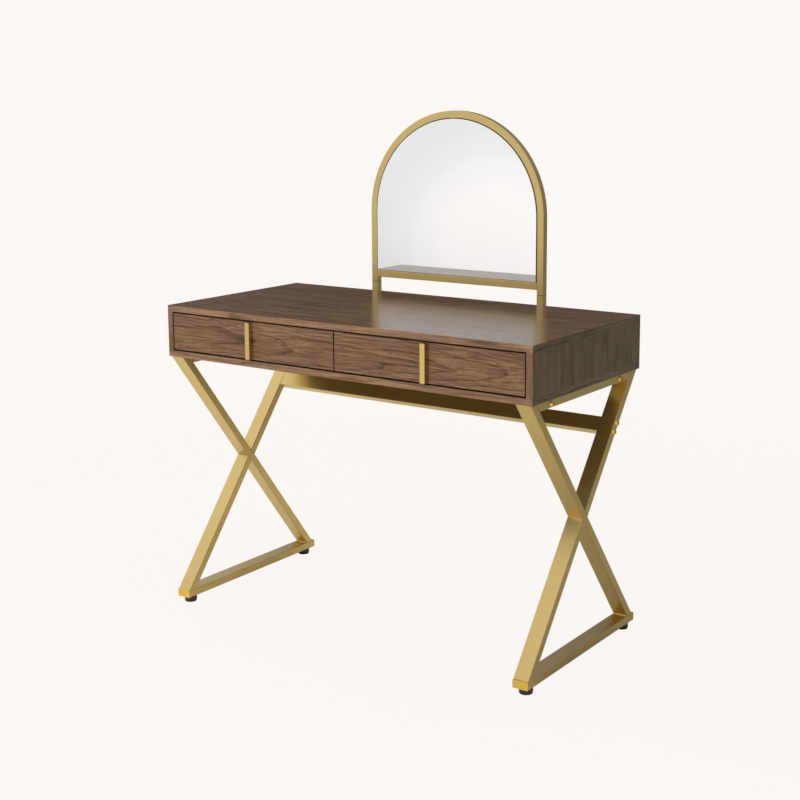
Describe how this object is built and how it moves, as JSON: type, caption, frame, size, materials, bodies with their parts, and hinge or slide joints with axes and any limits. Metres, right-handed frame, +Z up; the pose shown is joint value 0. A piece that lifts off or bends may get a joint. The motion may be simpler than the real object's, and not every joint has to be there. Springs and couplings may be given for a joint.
{
  "type": "vanity table with mirror",
  "caption": "Vanity table with wooden drawer case on crossed flat-tube frames, round-topped mirror on posts behind the top, bar pulls and levelling feet.",
  "frame": {"origin": "on the floor, at the centre of the whole object's box", "axes": "+X to the right of someone sitting at the table, -Y towards that person, +Z up"},
  "size_m": [1.036, 0.5276, 1.2299],
  "materials": {
    "walnut_boards": "satin",
    "walnut_fronts": "satin",
    "walnut_uprights": "satin",
    "beech_dowels": "matte",
    "drawer_boards": "matte",
    "backing_board": "matte",
    "gold_tube": "satin brass colour",
    "cap_brass": "polished",
    "bolt_brass": "polished",
    "pull_brass": "satin",
    "slide_zinc": "zinc plated",
    "zinc_hardware": "zinc plated",
    "mirror_glass": "polished",
    "black_glide": "gloss"
  },
  "bodies": {
    "root": {"top_panel": "walnut_boards", "bottom_panel": "walnut_boards", "left_side_panel": "walnut_uprights", "right_side_panel": "walnut_uprights", "back_panel": "walnut_uprights", "centre_divider": "walnut_uprights", "cam_locks": "zinc_hardware", "panel_dowels": "beech_dowels", "drawer_runners": "slide_zinc", "runner_screws": "zinc_hardware", "left_long_leg": "gold_tube", "left_upper_leg": "gold_tube", "left_lower_leg": "gold_tube", "left_top_rail": "gold_tube", "left_bottom_rail": "gold_tube", "right_long_leg": "gold_tube", "right_upper_leg": "gold_tube", "right_lower_leg": "gold_tube", "right_top_rail": "gold_tube", "right_bottom_rail": "gold_tube", "rail_end_caps": "cap_brass", "rear_rail": "gold_tube", "rear_rail_bolts": "bolt_brass", "top_rail_bolts": "bolt_brass", "corner_brackets": "zinc_hardware", "bracket_screws": "zinc_hardware", "foot_inserts": "zinc_hardware", "mirror_frame": "gold_tube", "mirror_crossbar": "gold_tube", "left_mirror_post": "gold_tube", "right_mirror_post": "gold_tube", "post_bolts": "bolt_brass", "post_nuts": "zinc_hardware", "mirror_glass": "mirror_glass", "mirror_backing": "backing_board", "mirror_clips": "zinc_hardware", "clip_screws": "zinc_hardware"},
    "foot_front_left": {"foot_front_left": "black_glide"},
    "foot_front_right": {"foot_front_right": "black_glide"},
    "foot_rear_left": {"foot_rear_left": "black_glide"},
    "foot_rear_right": {"foot_rear_right": "black_glide"},
    "left_carriage": {"left_slide_carriages": "slide_zinc"},
    "right_carriage": {"right_slide_carriages": "slide_zinc"},
    "left_drawer": {"left_drawer_front": "walnut_fronts", "left_drawer_outer_side": "drawer_boards", "left_drawer_inner_side": "drawer_boards", "left_drawer_back": "drawer_boards", "left_drawer_bottom": "drawer_boards", "left_drawer_pull": "pull_brass", "left_pull_screws": "zinc_hardware", "left_drawer_slides": "slide_zinc"},
    "right_drawer": {"right_drawer_front": "walnut_fronts", "right_drawer_outer_side": "drawer_boards", "right_drawer_inner_side": "drawer_boards", "right_drawer_back": "drawer_boards", "right_drawer_bottom": "drawer_boards", "right_drawer_pull": "pull_brass", "right_pull_screws": "zinc_hardware", "right_drawer_slides": "slide_zinc"}
  },
  "joints": [
    {"name": "left_drawer_slide", "type": "slide", "parent": "root", "child": "left_drawer", "axis": [0, -1, 0], "range_m": [0, 0.35]},
    {"name": "left_carriage_slide", "type": "slide", "parent": "root", "child": "left_carriage", "axis": [0, -1, 0], "range_m": [0, 0.175]},
    {"name": "right_drawer_slide", "type": "slide", "parent": "root", "child": "right_drawer", "axis": [0, -1, 0], "range_m": [0, 0.35]},
    {"name": "right_carriage_slide", "type": "slide", "parent": "root", "child": "right_carriage", "axis": [0, -1, 0], "range_m": [0, 0.175]},
    {"name": "foot_front_left_level", "type": "slide", "parent": "root", "child": "foot_front_left", "axis": [0, 0, -1], "range_m": [0, 0.01]},
    {"name": "foot_front_right_level", "type": "slide", "parent": "root", "child": "foot_front_right", "axis": [0, 0, -1], "range_m": [0, 0.01]},
    {"name": "foot_rear_left_level", "type": "slide", "parent": "root", "child": "foot_rear_left", "axis": [0, 0, -1], "range_m": [0, 0.01]},
    {"name": "foot_rear_right_level", "type": "slide", "parent": "root", "child": "foot_rear_right", "axis": [0, 0, -1], "range_m": [0, 0.01]}
  ],
  "couplings": [
    {"joint": "left_carriage_slide", "follows": "left_drawer_slide", "ratio": 0.5},
    {"joint": "right_carriage_slide", "follows": "right_drawer_slide", "ratio": 0.5}
  ]
}
